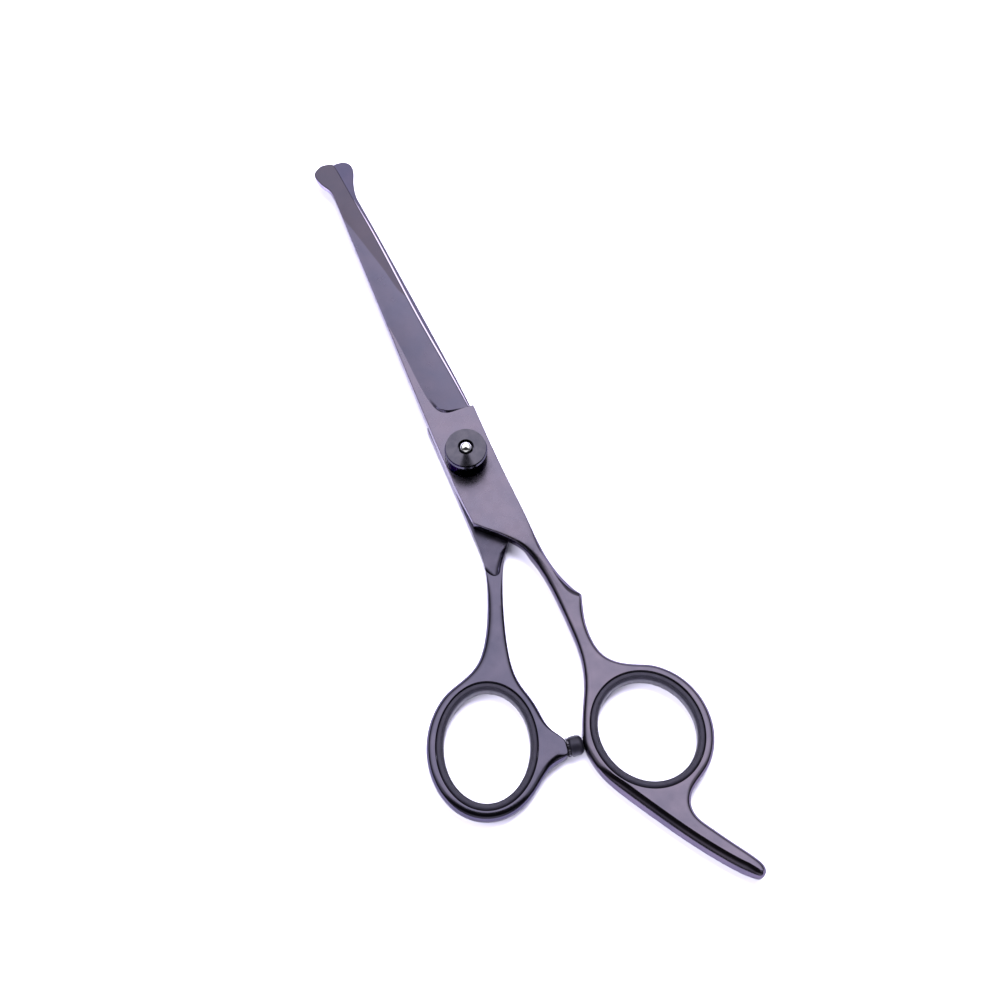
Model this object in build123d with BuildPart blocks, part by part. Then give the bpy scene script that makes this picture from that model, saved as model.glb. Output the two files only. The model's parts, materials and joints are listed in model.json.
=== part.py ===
from build123d import *
import os

# Hair cutting shears, six-inch class, closed with the bumper on the finger ring.
# Millimetres. The origin is on the pivot axis in the plane of the bolt head's underside,
# +Z runs up the pivot to the adjusting knob and +Y along the closed blades to the tips.

# ---- driving dimensions: levels along the pivot -------------------------------------
HEAD_PROUD = 0.4            # bolt head below the thumb blade
BLADE_THICK = 3.5           # each blade at the pivot
BLADE_GAP = 0.06            # running gap between the blades
HANDLE_THICK = 4.5          # both handles, centred on the ride plane
TIP_THICK = 2.7             # each blade at the tips, before grinding
SLOPE_START = -18.0         # where each forging begins to thin towards its handle
SLOPE_END = -45.0
STEP_START = -26.0          # shank step that brings each handle level with the other
STEP_END = -29.0

THUMB_Z = HEAD_PROUD                        # underside of the thumb blade
RIDE_Z = THUMB_Z + BLADE_THICK              # its ride face
FINGER_Z = RIDE_Z + BLADE_GAP               # underside of the finger blade
TOP_Z = FINGER_Z + BLADE_THICK              # top of the finger blade
MID_Z = (RIDE_Z + FINGER_Z) / 2
HANDLE_LOW = MID_Z - HANDLE_THICK / 2
HANDLE_HIGH = MID_Z + HANDLE_THICK / 2

# ---- driving dimensions: plan -------------------------------------------------------
TIP_Y = 91.0
BLOCK_WIDTH = 90.0          # wider than the shears, for the side views
PAST_TIP = 2.0              # how far the side views and the grind run beyond the tips
TANG_Y = -121.0             # just past the end of the finger rest
HEEL_Y = 13.0               # where the cutting edges begin
HEEL_STEP_LOW, HEEL_STEP_HIGH = HEEL_Y - 0.6, HEEL_Y + 0.4      # sides' small step there
EDGE_LAND = 0.25            # thickness left at a cutting edge
GRIND_SLOPE = 0.36          # rise of the hollow grind across the blade
GRIND_RUNOUT = 2.5          # corner radius that the wheel leaves at the heel
GRIND_LEAD = 5.0            # the grind starts this far before the heel
GRIND_OUT, GRIND_IN, GRIND_CLEAR = 3.0, 12.0, 9.0   # wheel's reach off the edge, in and up
RIDGE_RUN = 14.0            # length of the ridge from the heel's corner to the spine
HEEL_OVERHANG = 2.0         # grind's plan reaches this far outside the heel
SPINE_SIDE = 8.0            # and this far over the spine's side
FINGER_BLENDS = ((14.8, -61.7, 6), (1.9, -66.7, 8), (0.0, -85.3, 8), (16.5, -94.0, 2.5),
                 (22.4, -119.3, 1.75), (25.4, -117.2, 1.75))
THUMB_BLENDS = ((-20.7, -50.5, 8), (-11.9, -77.8, 5), (-9.6, -58.0, 8), (-8.2, -67.0, 5))
FINGER_RIDGE = (-1.9, 13.2) # where the grind's ridge turns along the heel
THUMB_RIDGE = (3.3, 13.2)
TIP_BANK_Y = 47.2           # where the thicker tip facet meets the cutting edge
TIP_BANK_SLOPE = 0.277
HANDLE_ROUND = 1.1          # edge rounding of handles and rings

THUMB_RING = (-22.45, -67.35)
THUMB_LONG, THUMB_SHORT, THUMB_TILT = 15.0, 11.7, -22.6
FINGER_RING = (13.1, -77.9)
FINGER_LONG, FINGER_SHORT, FINGER_TILT = 14.2, 12.7, 11.0
RING_WALL = 2.2             # metal around each insert
INSERT_WALL = 1.3           # rubber lip inside the metal
INSERT_BELLY = 0.6          # how far the rubber swells inwards between its lips
INSERT_PROUD = 0.12         # rubber above and below the metal
BEAD, BEAD_HEIGHT = 0.35, 1.6

# ---- driving dimensions: pivot stack ------------------------------------------------
HEAD_D, HEAD_T = 8.0, 1.2
NECK_D, NECK_FLATS = 5.2, 4.3
SHAFT_D = 4.2
KEY_D, KEY_FLATS = 4.0, 3.0
THREAD_D, THREAD_END = 3.0, 13.6
RUNNING = 0.05              # radial running clearance
SNUG = 0.01                 # radial clearance of the bolt's neck, which doesn't turn
AXIAL_PLAY = 0.02
BUSH_D = 6.0
RIDE_WASHER_D, RIDE_WASHER_T, RIDE_RECESS = 9.0, 0.34, 0.3
WASHER_BORE = 4.6
THRUST_D, THRUST_T = 7.4, 0.28
DISC_D, DISC_T, DISC_CONE = 7.4, 0.3, 0.6
CLICK_D, CLICK_T = 7.6, 0.8
CLICK_COUNT, BALL_CIRCLE_R, BALL_D = 12, 2.85, 1.2
DIMPLE_DEPTH = 0.1
DETENT_TURNS, DETENT_COIL_R, DETENT_WIRE = 4, 0.45, 0.2

KNOB_D, KNOB_RIM_D, KNOB_TOP, KNOB_CROWN = 10.2, 9.7, 14.0, 0.45
KNOB_LIFT = 0.2             # skirt above the finger blade
HUB_GAP = 0.3               # hub above the click plate
KNOB_CAVITY_D = 8.4
KNURL_COUNT, KNURL_DEPTH, KNURL_WIDTH = 48, 0.22, 0.3
KNURL_BANDS = ((8.0, 10.2), (10.7, 12.7))
GROOVE_DEPTH = 0.45
KNOB_CHAMFER, HEAD_CHAMFER, STUD_CHAMFER = 0.3, 0.2, 0.25
KNURL_EDGE = 0.15           # plain edge of a knurled band
CHIP_GAP = 0.1              # between the click plate and the thread's shoulder
DOME_D, DOME_H, DOME_WELL_D, DOME_SUNK = 3.3, 1.5, 3.9, 0.4
CAP_SHANK_D, CAP_SHANK_LEN = 1.6, 1.6

# ---- driving dimensions: bumper -----------------------------------------------------
LUG_LOW, LUG_HIGH = (-5.75, -76.5), (-5.15, -72.2)     # corners of the lug's end face
BUMPER_D, BUMPER_LEN, BUMPER_ROUND = 4.8, 3.36, 1.4
STUD_D, STUD_IN, STUD_OUT = 2.0, 4.0, 2.2
STAR_D, STAR_T, STAR_TEETH, STAR_NOTCH_R = 4.4, 0.4, 12, 0.3

KEY_Z = TOP_Z + THRUST_T + 2 * AXIAL_PLAY
CLICK_Z = KEY_Z + 2 * (DISC_T + DISC_CONE)
CLICK_TOP = CLICK_Z + CLICK_T
KEY_TOP = CLICK_TOP + CHIP_GAP
HUB_Z = CLICK_TOP + HUB_GAP
BALL_Z = CLICK_TOP + BALL_D / 2 + AXIAL_PLAY / 2
DETENT_TOP = 12.9
KNOB_Z = TOP_Z + KNOB_LIFT
WELL_Z = THREAD_END - DOME_SUNK

os.makedirs("parts", exist_ok=True)


def side_view(top, tip_top, low, tip_low, handle_top, handle_low, stepped_low):
    """A block as wide as the shears, whose side view is that of one forging."""
    with BuildPart() as block:
        with BuildSketch(Plane.YZ.offset(-BLOCK_WIDTH / 2)):
            with BuildLine():
                Polyline((SLOPE_START, top), (HEEL_Y, top), (TIP_Y + PAST_TIP, tip_top))
                Line((TIP_Y + PAST_TIP, tip_top), (TIP_Y + PAST_TIP, tip_low))
                Polyline((TIP_Y + PAST_TIP, tip_low), (HEEL_Y, low), (SLOPE_START, low))
                shank_line(low, handle_low, stepped_low)
                Line((TANG_Y, handle_low), (TANG_Y, handle_top))
                shank_line(top, handle_top, not stepped_low)
            make_face()
        extrude(amount=BLOCK_WIDTH)
    return block.part


def shank_line(level, handle_level, stepped):
    """Side line from the pivot area to the end of the handle, stepped or swept."""
    if stepped:
        Polyline((SLOPE_START, level), (STEP_START, level), (STEP_END, handle_level),
                 (TANG_Y, handle_level))
    else:
        Spline((SLOPE_START, level), (SLOPE_END, handle_level), tangents=[(-1, 0), (-1, 0)])
        Line((SLOPE_END, handle_level), (TANG_Y, handle_level))


def oval(centre, long, short, tilt, grow=0.0):
    """An upright oval, leaned over by tilt degrees and grown all round."""
    with Locations(centre):
        Ellipse(short + grow, long + grow, rotation=tilt)


def oval_ring(centre, long, short, tilt):
    """Rubber liner of a finger hole: two lips, a belly between them and a locating bead."""
    low, high = HANDLE_LOW - INSERT_PROUD, HANDLE_HIGH + INSERT_PROUD
    belly = (high - low) / 4
    with BuildPart() as liner:
        with BuildSketch(Plane.XY.offset(low)):
            oval(centre, long, short, tilt)
        extrude(amount=high - low)
        with BuildSketch(Plane.XY.offset(MID_Z - BEAD_HEIGHT / 2)):
            oval(centre, long, short, tilt, BEAD)
        extrude(amount=BEAD_HEIGHT)
        with BuildSketch(Plane.XY.offset(low)):
            oval(centre, long, short, tilt, -INSERT_WALL - INSERT_BELLY)
        extrude(amount=high - low, mode=Mode.SUBTRACT)
        for mouth, narrow in ((low, low + belly), (high, high - belly)):
            with BuildSketch(Plane.XY.offset(mouth)):
                oval(centre, long, short, tilt, -INSERT_WALL)
            with BuildSketch(Plane.XY.offset(narrow)):
                oval(centre, long, short, tilt, -INSERT_WALL - INSERT_BELLY)
            loft(mode=Mode.SUBTRACT)
    return liner.part


def ring_seat(centre, long, short, tilt):
    """The hole of a ring, with the groove that holds its liner's bead."""
    with BuildPart() as seat:
        with BuildSketch():
            oval(centre, long, short, tilt)
        extrude(amount=TOP_Z)
        with BuildSketch(Plane.XY.offset(MID_Z - BEAD_HEIGHT / 2)):
            oval(centre, long, short, tilt, BEAD)
        extrude(amount=BEAD_HEIGHT)
    return seat.part


def blend(corners):
    """Round the plan corners where a handle, a lug or the rest runs into its ring."""
    for x, y, radius in corners:
        fillet(vertices().sort_by_distance((x, y))[0], radius)


def grind(edge, ride_level, corner):
    """The material that the hollow grind takes off one blade, from its heel to its tip."""
    heel, tip = Vector(*edge[-1]), Vector(*edge[1])
    run = (tip - heel).normalized()
    up = 1 if ride_level == FINGER_Z else -1
    across = Vector(-run.Y, run.X) * up
    heel_x, spine_x = heel.X + HEEL_OVERHANG * up, -SPINE_SIDE * up
    edge_point = Vector(heel.X, heel.Y, ride_level + up * EDGE_LAND)
    tip_bank = Plane(
        origin=(edge[2][0], TIP_BANK_Y, edge_point.Z), z_dir=(TIP_BANK_SLOPE, 0, up)
    )
    with BuildPart() as chip:
        with BuildSketch(Plane(origin=edge_point, x_dir=across, z_dir=run).offset(-GRIND_LEAD)):
            Polygon(
                (-GRIND_OUT, -GRIND_OUT * GRIND_SLOPE), (GRIND_IN, GRIND_IN * GRIND_SLOPE),
                (GRIND_IN, GRIND_CLEAR), (-GRIND_OUT, GRIND_CLEAR), align=None,
            )
        extrude(amount=TIP_Y)
        with BuildSketch():
            with BuildLine():
                Polyline(
                    (spine_x, TIP_Y + PAST_TIP), (spine_x, corner[1] + RIDGE_RUN), corner,
                    (heel_x, HEEL_STEP_LOW), (heel_x, TIP_Y + PAST_TIP), close=True,
                )
            make_face()
            fillet(vertices().sort_by_distance(corner)[0], GRIND_RUNOUT)
        extrude(amount=TOP_Z, mode=Mode.INTERSECT)
        with Locations(tip_bank):
            Box(
                4 * TIP_Y, 4 * TIP_Y, GRIND_IN, align=(Align.CENTER, Align.CENTER, Align.MIN),
                mode=Mode.INTERSECT,
            )
    return chip.part


def double_d(diameter, flats):
    """A round with two flats across X."""
    Circle(diameter / 2)
    Rectangle(flats, diameter, mode=Mode.INTERSECT)


def handle_rims(forging):
    """Upper and lower edges all round a handle, its ring and its rest."""
    return forging.edges().filter_by(
        lambda edge: edge.center().Y < SLOPE_END
        and any(
            abs((edge @ 0).Z - level) < SNUG and abs((edge @ 1).Z - level) < SNUG
            for level in (HANDLE_LOW, HANDLE_HIGH)
        )
    )


BUMPER_PLANE = Plane(
    origin=((LUG_LOW[0] + LUG_HIGH[0]) / 2, (LUG_LOW[1] + LUG_HIGH[1]) / 2, MID_Z),
    z_dir=(LUG_HIGH[1] - LUG_LOW[1], LUG_LOW[0] - LUG_HIGH[0], 0),
)

# ---- finger half --------------------------------------------------------------------
FINGER_EDGE = ((0.1, 90.6), (1.3, 80.2), (3.9, 40.6), (6.3, HEEL_STEP_HIGH))
FINGER_SPINE = ((-5.3, -6.0), (-5.2, 12.0), (-4.5, 42.8), (-4.0, 62.5), (-3.4, 81.5))
FINGER_LOBE = ((-3.4, 81.5), (-4.9, 84.2), (-6.0, 87.2), (-5.2, 89.8), (-2.6, 90.95), (0.1, 90.6))

with BuildPart() as finger_blade:
    with BuildSketch():
        with BuildLine():
            Spline(FINGER_EDGE)
            Line(FINGER_EDGE[-1], (7.0, HEEL_STEP_LOW))
            Spline((7.0, HEEL_STEP_LOW), (7.05, -4), (7.6, -20), (8.5, -31.5), (10.0, -36.6), (12.45, -41.6))
            Spline((12.45, -41.6), (10.8, -46.6), (10.1, -53), (11.3, -57.9), (15.0, -61.9), (19.0, -64.5))
            Polyline((19.0, -64.5), (14, -70), (4, -75), (0.2, -77.5))
            Spline((0.2, -77.5), (-0.4, -73.0), (3.3, -63.8), (5.8, -56.3), (6.35, -48), (6.25, -40),
                   (5.5, -32), (3.6, -25.8), (-0.4, -20.6))
            Polyline((-0.4, -20.6), (-4.8, -16.3), FINGER_SPINE[0])
            Spline(FINGER_SPINE)
            Spline(FINGER_LOBE)
        make_face()
        oval(FINGER_RING, FINGER_LONG, FINGER_SHORT, FINGER_TILT, RING_WALL)
        with BuildLine():
            Spline((-0.2, -80.0), (0.2, -86.0), (4.7, -94.3), (12.4, -106.6), (17.3, -113.4), (22.4, -119.3))
            Line((22.4, -119.3), (25.4, -117.2))
            Spline((25.4, -117.2), (20.4, -109.2), (17.3, -104.1), (15.2, -99.8), (15.5, -96.0),
                   (20.0, -91.0))
            Polyline((20.0, -91.0), (12, -84), (-0.2, -80.0))
        make_face()
        blend(FINGER_BLENDS)
    extrude(amount=TOP_Z)
    add(
        side_view(TOP_Z, FINGER_Z + TIP_THICK, FINGER_Z, FINGER_Z, HANDLE_HIGH, HANDLE_LOW, True),
        mode=Mode.INTERSECT,
    )
    add(grind(FINGER_EDGE, FINGER_Z, FINGER_RIDGE), mode=Mode.SUBTRACT)
    fillet(handle_rims(finger_blade), HANDLE_ROUND)
    add(ring_seat(FINGER_RING, FINGER_LONG, FINGER_SHORT, FINGER_TILT), mode=Mode.SUBTRACT)
    with BuildSketch():
        Circle(BUSH_D / 2)
    extrude(amount=TOP_Z, mode=Mode.SUBTRACT)
finger_blade.part.label = "finger_blade"
export_step(finger_blade.part, "parts/finger_blade.step")

THUMB_EDGE = ((-0.4, 90.8), (-2.2, 80.2), (-3.3, 40.6), (-4.6, HEEL_STEP_HIGH))
THUMB_SPINE = ((6.6, -4.0), (6.8, 12.0), (5.1, 40.7), (3.7, 62.5), (2.5, 80.9))
THUMB_LOBE = ((2.5, 80.9), (3.6, 84.0), (4.35, 87.2), (3.4, 90.0), (1.6, 91.0), (-0.4, 90.8))

with BuildPart() as thumb_blade:
    with BuildSketch():
        with BuildLine():
            Spline(THUMB_EDGE)
            Line(THUMB_EDGE[-1], (-5.3, HEEL_STEP_LOW))
            Spline((-5.3, HEEL_STEP_LOW), (-5.3, -4), (-5.45, -17), (-5.95, -25.5), (-8.5, -33.9),
                   (-11.2, -40.0), (-14.2, -45.1), (-17.6, -48.6), (-22.0, -51.2), (-27.0, -54.5))
            Polyline((-27.0, -54.5), (-22, -60), (-14, -70), (-19.0, -81.5))
            Spline((-19.0, -81.5), (-15.0, -79.6), (-11.0, -77.4), LUG_LOW)
            Line(LUG_LOW, LUG_HIGH)
            Spline(LUG_HIGH, (-6.6, -70.4), (-8.3, -67.5), (-9.6, -63.5))
            Spline((-9.6, -63.5), (-9.75, -53.5), (-9.2, -48.5), (-7.7, -42.8), (-5.6, -36.6),
                   (-3.4, -31), (-1.3, -26.8), (0.6, -24.0))
            Polyline((0.6, -24.0), (5.9, -16.3), THUMB_SPINE[0])
            Spline(THUMB_SPINE)
            Spline(THUMB_LOBE)
        make_face()
        oval(THUMB_RING, THUMB_LONG, THUMB_SHORT, THUMB_TILT, RING_WALL)
        blend(THUMB_BLENDS)
    extrude(amount=TOP_Z)
    add(
        side_view(RIDE_Z, RIDE_Z, THUMB_Z, RIDE_Z - TIP_THICK, HANDLE_HIGH, HANDLE_LOW, False),
        mode=Mode.INTERSECT,
    )
    add(grind(THUMB_EDGE, RIDE_Z, THUMB_RIDGE), mode=Mode.SUBTRACT)
    fillet(handle_rims(thumb_blade), HANDLE_ROUND)
    add(ring_seat(THUMB_RING, THUMB_LONG, THUMB_SHORT, THUMB_TILT), mode=Mode.SUBTRACT)
    with BuildSketch():
        double_d(NECK_D + 2 * SNUG, NECK_FLATS + 2 * SNUG)
    extrude(amount=RIDE_Z, mode=Mode.SUBTRACT)
    with BuildSketch():
        Circle(HEAD_D / 2 + 2 * RUNNING)
    extrude(amount=HEAD_T, mode=Mode.SUBTRACT)
    with BuildSketch(Plane.XY.offset(RIDE_Z - RIDE_RECESS)):
        Circle(RIDE_WASHER_D / 2 + 2 * RUNNING)
    extrude(amount=RIDE_RECESS, mode=Mode.SUBTRACT)
    with BuildSketch(BUMPER_PLANE):
        Circle(STUD_D / 2)
    extrude(amount=-STUD_IN, mode=Mode.SUBTRACT)
thumb_blade.part.label = "thumb_blade"
export_step(thumb_blade.part, "parts/thumb_blade.step")

# ---- liners of the two rings --------------------------------------------------------
finger_ring_insert = oval_ring(FINGER_RING, FINGER_LONG, FINGER_SHORT, FINGER_TILT)
finger_ring_insert.label = "finger_ring_insert"
export_step(finger_ring_insert, "parts/finger_ring_insert.step")

thumb_ring_insert = oval_ring(THUMB_RING, THUMB_LONG, THUMB_SHORT, THUMB_TILT)
thumb_ring_insert.label = "thumb_ring_insert"
export_step(thumb_ring_insert, "parts/thumb_ring_insert.step")

# ---- bumper -------------------------------------------------------------------------
with BuildPart() as bumper_stud:
    with BuildSketch(BUMPER_PLANE.offset(-STUD_IN)):
        Circle(STUD_D / 2)
    extrude(amount=STUD_IN + STUD_OUT)
    chamfer(bumper_stud.edges().filter_by(GeomType.CIRCLE), STUD_CHAMFER)
bumper_stud.part.label = "bumper_stud"
export_step(bumper_stud.part, "parts/bumper_stud.step")

with BuildPart() as bumper_lock_washer:
    with BuildSketch(BUMPER_PLANE):
        Circle(STAR_D / 2)
        with PolarLocations(STAR_D / 2, STAR_TEETH):
            Circle(STAR_NOTCH_R, mode=Mode.SUBTRACT)
        Circle(STUD_D / 2, mode=Mode.SUBTRACT)
    extrude(amount=STAR_T)
bumper_lock_washer.part.label = "bumper_lock_washer"
export_step(bumper_lock_washer.part, "parts/bumper_lock_washer.step")

with BuildPart() as bumper_cap:
    with BuildSketch(BUMPER_PLANE.offset(STAR_T)):
        Circle(BUMPER_D / 2)
    extrude(amount=BUMPER_LEN)
    ends = bumper_cap.edges().filter_by(GeomType.CIRCLE).sort_by(Axis.X)
    fillet(ends[-1], BUMPER_ROUND)
    fillet(ends[0], BUMPER_ROUND / 2)
    with BuildSketch(BUMPER_PLANE.offset(STAR_T)):
        Circle(STUD_D / 2)
    extrude(amount=STUD_OUT - STAR_T, mode=Mode.SUBTRACT)
bumper_cap.part.label = "bumper_cap"
export_step(bumper_cap.part, "parts/bumper_cap.step")

# ---- pivot, from the underside up ---------------------------------------------------
with BuildPart() as pivot_bolt:
    Cylinder(HEAD_D / 2, HEAD_T, align=(Align.CENTER, Align.CENTER, Align.MIN))
    chamfer(pivot_bolt.edges().sort_by(Axis.Z)[0], HEAD_CHAMFER)
    with BuildSketch(Plane.XY.offset(HEAD_T)):
        double_d(NECK_D, NECK_FLATS)
    extrude(amount=RIDE_Z - RIDE_RECESS - HEAD_T)
    with BuildSketch(Plane.XY.offset(RIDE_Z - RIDE_RECESS)):
        Circle(SHAFT_D / 2)
    extrude(amount=KEY_Z - RIDE_Z + RIDE_RECESS)
    with BuildSketch(Plane.XY.offset(KEY_Z)):
        double_d(KEY_D, KEY_FLATS)
    extrude(amount=KEY_TOP - KEY_Z)
    with BuildSketch(Plane.XY.offset(KEY_TOP)):
        Circle(THREAD_D / 2)
    extrude(amount=THREAD_END - KEY_TOP)
    with BuildSketch(Plane.XY.offset(THREAD_END - CAP_SHANK_LEN)):
        Circle(CAP_SHANK_D / 2)
    extrude(amount=CAP_SHANK_LEN, mode=Mode.SUBTRACT)
pivot_bolt.part.label = "pivot_bolt"
export_step(pivot_bolt.part, "parts/pivot_bolt.step")

with BuildPart() as bolt_end_cap:
    dome_radius = (DOME_D**2 / 4 + DOME_H**2) / (2 * DOME_H)
    with Locations((0, 0, THREAD_END + DOME_H - dome_radius)):
        Sphere(dome_radius)
    split(bisect_by=Plane.XY.offset(THREAD_END), keep=Keep.TOP)
    with BuildSketch(Plane.XY.offset(THREAD_END)):
        Circle(CAP_SHANK_D / 2)
    extrude(amount=-CAP_SHANK_LEN)
bolt_end_cap.part.label = "bolt_end_cap"
export_step(bolt_end_cap.part, "parts/bolt_end_cap.step")

with BuildPart() as pivot_bush:
    with BuildSketch(Plane.XY.offset(FINGER_Z)):
        Circle(BUSH_D / 2)
        Circle(SHAFT_D / 2 + RUNNING, mode=Mode.SUBTRACT)
    extrude(amount=BLADE_THICK)
pivot_bush.part.label = "pivot_bush"
export_step(pivot_bush.part, "parts/pivot_bush.step")

with BuildPart() as ride_washer:
    with BuildSketch(Plane.XY.offset(RIDE_Z - RIDE_RECESS)):
        Circle(RIDE_WASHER_D / 2)
        Circle(WASHER_BORE / 2, mode=Mode.SUBTRACT)
    extrude(amount=RIDE_WASHER_T)
ride_washer.part.label = "ride_washer"
export_step(ride_washer.part, "parts/ride_washer.step")

with BuildPart() as thrust_washer:
    with BuildSketch(Plane.XY.offset(TOP_Z)):
        Circle(THRUST_D / 2)
        Circle(WASHER_BORE / 2, mode=Mode.SUBTRACT)
    extrude(amount=THRUST_T)
thrust_washer.part.label = "thrust_washer"
export_step(thrust_washer.part, "parts/thrust_washer.step")


def disc_spring(rim_z, bore_z):
    """Conical spring washer between the level of its rim and that of its bore."""
    with BuildPart() as spring:
        with BuildSketch(Plane.XZ):
            Polygon(
                (DISC_D / 2, rim_z), (DISC_D / 2, rim_z + DISC_T),
                (WASHER_BORE / 2, bore_z + DISC_T), (WASHER_BORE / 2, bore_z), align=None,
            )
        revolve(axis=Axis.Z)
    return spring.part


disc_spring_lower = disc_spring(KEY_Z, KEY_Z + DISC_CONE)
disc_spring_lower.label = "disc_spring_lower"
export_step(disc_spring_lower, "parts/disc_spring_lower.step")

disc_spring_upper = disc_spring(CLICK_Z - DISC_T, CLICK_Z - DISC_T - DISC_CONE)
disc_spring_upper.label = "disc_spring_upper"
export_step(disc_spring_upper, "parts/disc_spring_upper.step")

with BuildPart() as click_plate:
    with BuildSketch(Plane.XY.offset(CLICK_Z)):
        Circle(CLICK_D / 2)
    extrude(amount=CLICK_T)
    with BuildSketch(Plane.XY.offset(CLICK_Z)):
        double_d(KEY_D + 2 * RUNNING, KEY_FLATS + 2 * RUNNING)
    extrude(amount=CLICK_T, mode=Mode.SUBTRACT)
    with Locations((0, 0, CLICK_TOP + BALL_D / 2 - DIMPLE_DEPTH)):
        with PolarLocations(BALL_CIRCLE_R, CLICK_COUNT):
            Sphere(BALL_D / 2, mode=Mode.SUBTRACT)
click_plate.part.label = "click_plate"
export_step(click_plate.part, "parts/click_plate.step")

with BuildPart() as detent_balls:
    with Locations((0, 0, BALL_Z)):
        with PolarLocations(BALL_CIRCLE_R, 2):
            Sphere(BALL_D / 2)
detent_balls.part.label = "detent_balls"
export_step(detent_balls.part, "parts/detent_balls.step")

COIL_LOW = BALL_Z + BALL_D / 2 + AXIAL_PLAY + DETENT_WIRE / 2
COIL_HEIGHT = DETENT_TOP - AXIAL_PLAY - DETENT_WIRE / 2 - COIL_LOW
with BuildPart() as coil:
    with BuildLine() as coil_line:
        Helix(COIL_HEIGHT / DETENT_TURNS, COIL_HEIGHT, DETENT_COIL_R)
    with BuildSketch(Plane(origin=coil_line.line @ 0, z_dir=coil_line.line % 0)):
        Circle(DETENT_WIRE / 2)
    sweep(is_frenet=True)

with BuildPart() as detent_springs:
    with Locations((0, 0, COIL_LOW)):
        with PolarLocations(BALL_CIRCLE_R, 2):
            add(coil.part)
detent_springs.part.label = "detent_springs"
export_step(detent_springs.part, "parts/detent_springs.step")

with BuildPart() as adjusting_knob:
    with BuildSketch(Plane.XZ):
        with BuildLine():
            Polyline(
                (KNOB_CAVITY_D / 2, KNOB_Z), (KNOB_D / 2 - KNOB_CHAMFER, KNOB_Z),
                (KNOB_D / 2, KNURL_BANDS[0][0]), (KNOB_D / 2, KNURL_BANDS[0][1]),
                (KNOB_D / 2 - GROOVE_DEPTH, KNURL_BANDS[0][1]),
                (KNOB_D / 2 - GROOVE_DEPTH, KNURL_BANDS[1][0]),
                (KNOB_D / 2, KNURL_BANDS[1][0]), (KNOB_D / 2, KNURL_BANDS[1][1]),
                (KNOB_RIM_D / 2, KNURL_BANDS[1][1] + GROOVE_DEPTH), (KNOB_RIM_D / 2, KNOB_TOP),
                (DOME_WELL_D / 2, KNOB_TOP + KNOB_CROWN), (DOME_WELL_D / 2, WELL_Z),
                (THREAD_D / 2 + RUNNING, WELL_Z), (THREAD_D / 2 + RUNNING, HUB_Z),
                (KNOB_CAVITY_D / 2, HUB_Z), (KNOB_CAVITY_D / 2, KNOB_Z),
            )
        make_face()
    revolve(axis=Axis.Z)
    with BuildSketch(Plane.XY.offset(HUB_Z)):
        with PolarLocations(BALL_CIRCLE_R, 2):
            Circle(BALL_D / 2 + RUNNING)
    extrude(amount=DETENT_TOP - HUB_Z, mode=Mode.SUBTRACT)
    for low, high in KNURL_BANDS:
        with BuildSketch(Plane.XY.offset(low + KNURL_EDGE)):
            with PolarLocations(KNOB_D / 2, KNURL_COUNT):
                Rectangle(2 * KNURL_DEPTH, KNURL_WIDTH)
        extrude(amount=high - low - 2 * KNURL_EDGE, mode=Mode.SUBTRACT)
adjusting_knob.part.label = "adjusting_knob"
export_step(adjusting_knob.part, "parts/adjusting_knob.step")
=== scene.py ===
import json
import math

import bmesh
import bpy
import numpy as np
from mathutils import Matrix, Vector
from mathutils.geometry import delaunay_2d_cdt


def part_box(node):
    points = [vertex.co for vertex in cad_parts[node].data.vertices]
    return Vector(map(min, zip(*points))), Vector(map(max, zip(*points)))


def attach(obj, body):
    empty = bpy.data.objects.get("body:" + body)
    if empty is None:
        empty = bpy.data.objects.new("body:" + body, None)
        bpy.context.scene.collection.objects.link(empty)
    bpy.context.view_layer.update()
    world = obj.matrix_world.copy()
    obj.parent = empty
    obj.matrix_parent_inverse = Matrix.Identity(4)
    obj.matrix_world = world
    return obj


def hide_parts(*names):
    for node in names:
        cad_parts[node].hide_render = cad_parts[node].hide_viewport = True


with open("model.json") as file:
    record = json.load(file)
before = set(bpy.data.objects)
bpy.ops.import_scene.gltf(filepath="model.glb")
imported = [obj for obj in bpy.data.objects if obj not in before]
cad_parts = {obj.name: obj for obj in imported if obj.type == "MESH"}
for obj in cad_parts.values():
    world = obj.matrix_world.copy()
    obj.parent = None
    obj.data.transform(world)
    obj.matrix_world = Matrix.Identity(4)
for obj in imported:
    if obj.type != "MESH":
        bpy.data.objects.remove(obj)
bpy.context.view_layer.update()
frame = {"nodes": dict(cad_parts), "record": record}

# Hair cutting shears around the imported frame. Shapes are worked out in millimetres in the
# row's frame (+Z up the pivot, +Y to the tips) and scaled to metres when a mesh is made.
MM = 0.001

# ---- levels, read from the frame ------------------------------------------------------
THUMB_LOW, THUMB_TOP = (corner.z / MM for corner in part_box("thumb_blade"))
FINGER_LOW, FINGER_TOP = (corner.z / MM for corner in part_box("finger_blade"))
BLADE_THICK = 3.5
RIDE_Z = THUMB_LOW + BLADE_THICK            # thumb blade's ride face
FINGER_Z = FINGER_TOP - BLADE_THICK         # finger blade's underside
HANDLE_LOW, HANDLE_HIGH = FINGER_LOW, THUMB_TOP
EDGE_LAND = 0.22                            # thickness left at a cutting edge
TIP_LAND = 1.15                             # thickness of the blunt tips at the cutting edge
HEEL_Y = 13.0                               # where the blades' ground part begins
HOLLOW = 0.35                               # curve of the hollow grind, four times its depth
WHEEL_FROM = 12.3                           # the grinding wheel touches nothing behind this y
SATIN_FROM = -24.0                          # the satin finish by the pivot ends here

# ---- plan of the two forgings: listed points of their outlines, in millimetres -------------
FINGER_RING = ((13.1, -77.9), 14.2, 12.7, 11.0)      # centre, long and short radius, tilt
THUMB_RING = ((-22.45, -67.35), 15.0, 11.7, -22.6)
RING_WALL = 2.188

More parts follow.
